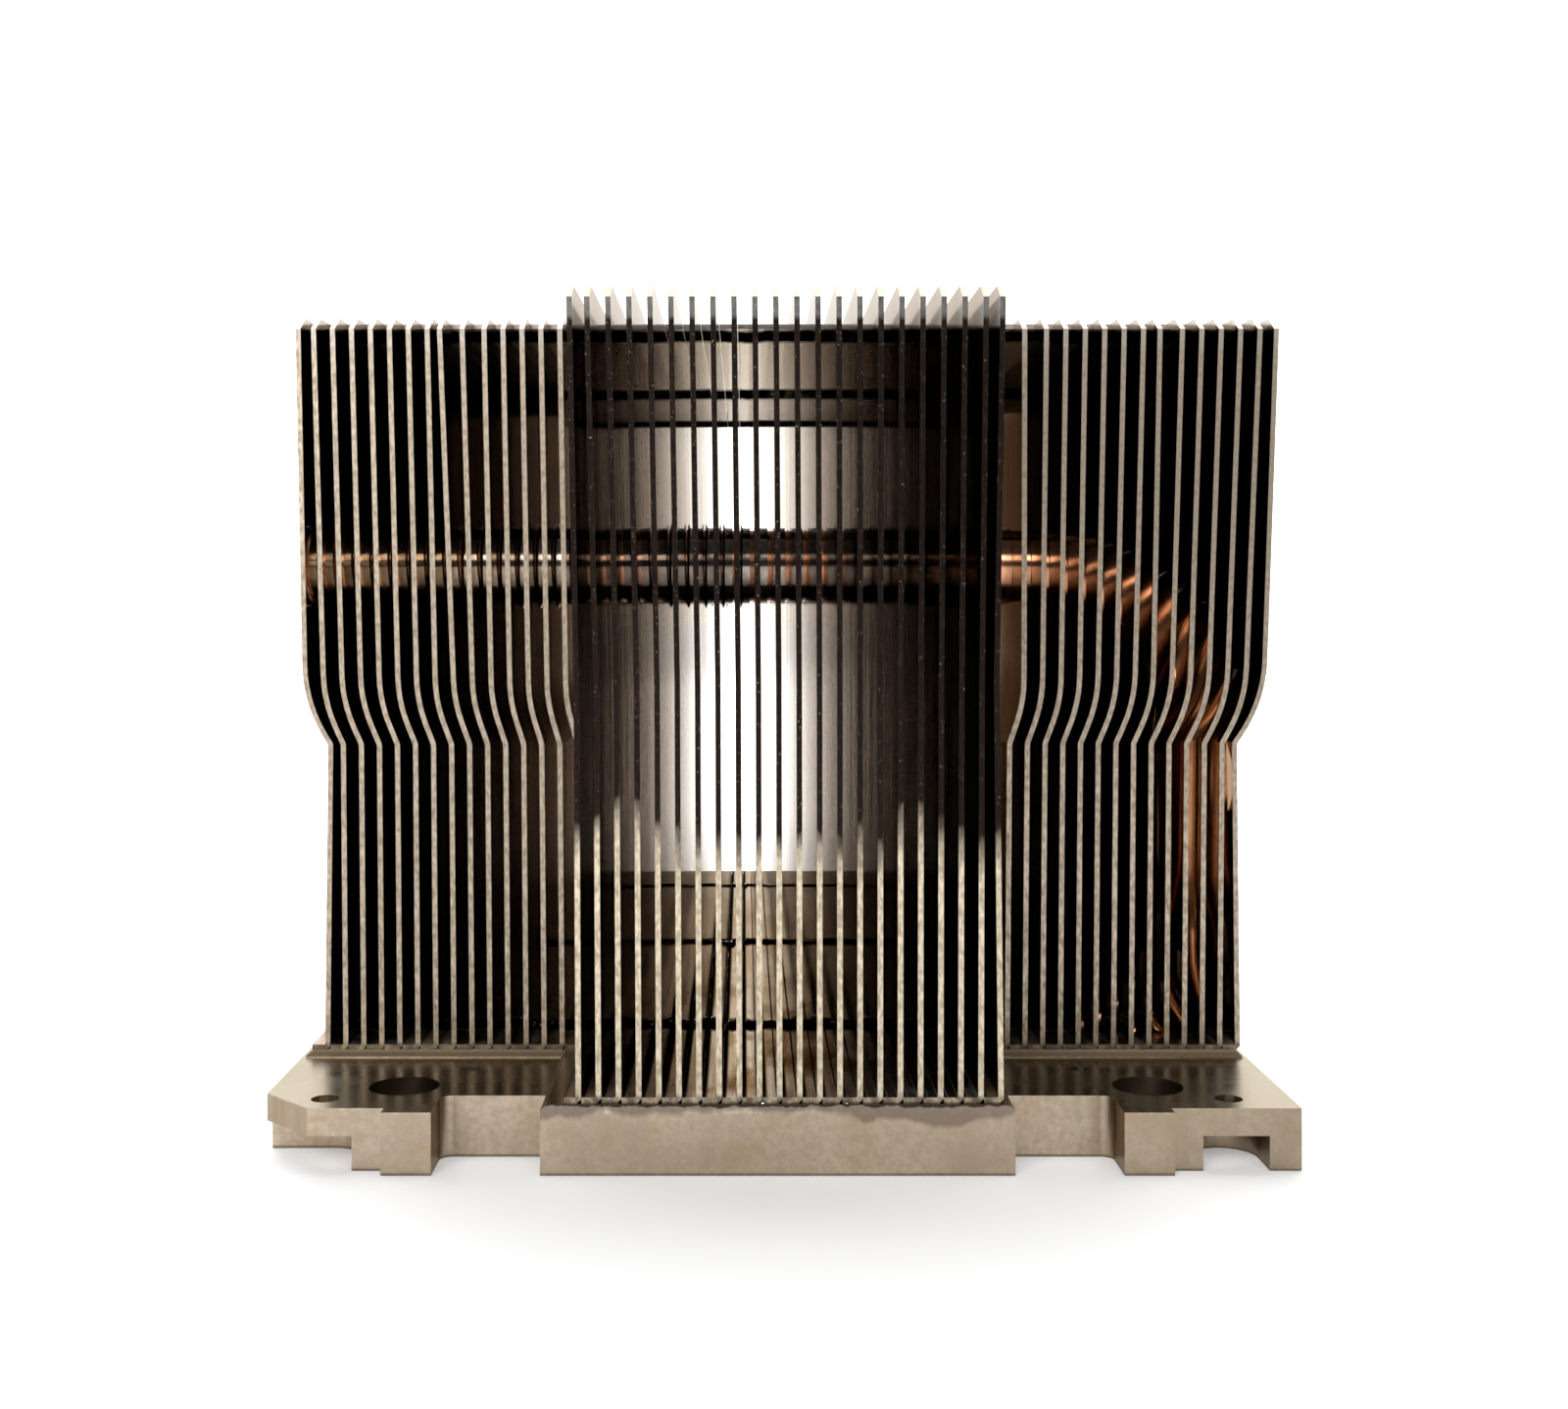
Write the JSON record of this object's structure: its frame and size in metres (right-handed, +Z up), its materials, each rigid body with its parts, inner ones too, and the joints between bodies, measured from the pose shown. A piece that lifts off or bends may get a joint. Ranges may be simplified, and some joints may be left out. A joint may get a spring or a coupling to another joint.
{
  "type": "passive server cpu heatsink",
  "caption": "Passive server CPU heatsink: a machined nickel-plated copper base plate with screw holes, a stack of folded fins that step outward at the sides, and copper heat pipes through them.",
  "frame": {"origin": "the middle of the base plate's underside, midway between the four screw holes, in the plane that rests on the processor", "axes": "+X across the fins to the right as seen from the front, +Y along the air flow from the front to the back, +Z up along the fins"},
  "size_m": [0.0789, 0.108, 0.064],
  "materials": {
    "plated_base": "satin nickel plate on machined copper",
    "plated_fin": "bright nickel plate on folded sheet, with sheared edges",
    "bare_copper": "bare copper tube, slightly tarnished"
  },
  "bodies": {
    "root": {"base_plate": "plated_base", "heat_pipe_front": "bare_copper", "heat_pipe_middle": "bare_copper", "heat_pipe_rear": "bare_copper", "fin_left_01": "plated_fin", "fin_left_02": "plated_fin", "fin_left_03": "plated_fin", "fin_left_04": "plated_fin", "fin_left_05": "plated_fin", "fin_left_06": "plated_fin", "fin_left_07": "plated_fin", "fin_left_08": "plated_fin", "fin_left_09": "plated_fin", "fin_left_10": "plated_fin", "fin_left_11": "plated_fin", "fin_left_12": "plated_fin", "fin_left_13": "plated_fin", "fin_left_14": "plated_fin", "fin_left_15": "plated_fin", "fin_centre_01": "plated_fin", "fin_centre_02": "plated_fin", "fin_centre_03": "plated_fin", "fin_centre_04": "plated_fin", "fin_centre_05": "plated_fin", "fin_centre_06": "plated_fin", "fin_centre_07": "plated_fin", "fin_centre_08": "plated_fin", "fin_centre_09": "plated_fin", "fin_centre_10": "plated_fin", "fin_centre_11": "plated_fin", "fin_centre_12": "plated_fin", "fin_centre_13": "plated_fin", "fin_centre_14": "plated_fin", "fin_centre_15": "plated_fin", "fin_centre_16": "plated_fin", "fin_centre_17": "plated_fin", "fin_centre_18": "plated_fin", "fin_centre_19": "plated_fin", "fin_centre_20": "plated_fin", "fin_centre_21": "plated_fin", "fin_centre_22": "plated_fin", "fin_right_01": "plated_fin", "fin_right_02": "plated_fin", "fin_right_03": "plated_fin", "fin_right_04": "plated_fin", "fin_right_05": "plated_fin", "fin_right_06": "plated_fin", "fin_right_07": "plated_fin", "fin_right_08": "plated_fin", "fin_right_09": "plated_fin", "fin_right_10": "plated_fin", "fin_right_11": "plated_fin", "fin_right_12": "plated_fin", "fin_right_13": "plated_fin", "fin_right_14": "plated_fin"}
  },
  "joints": []
}
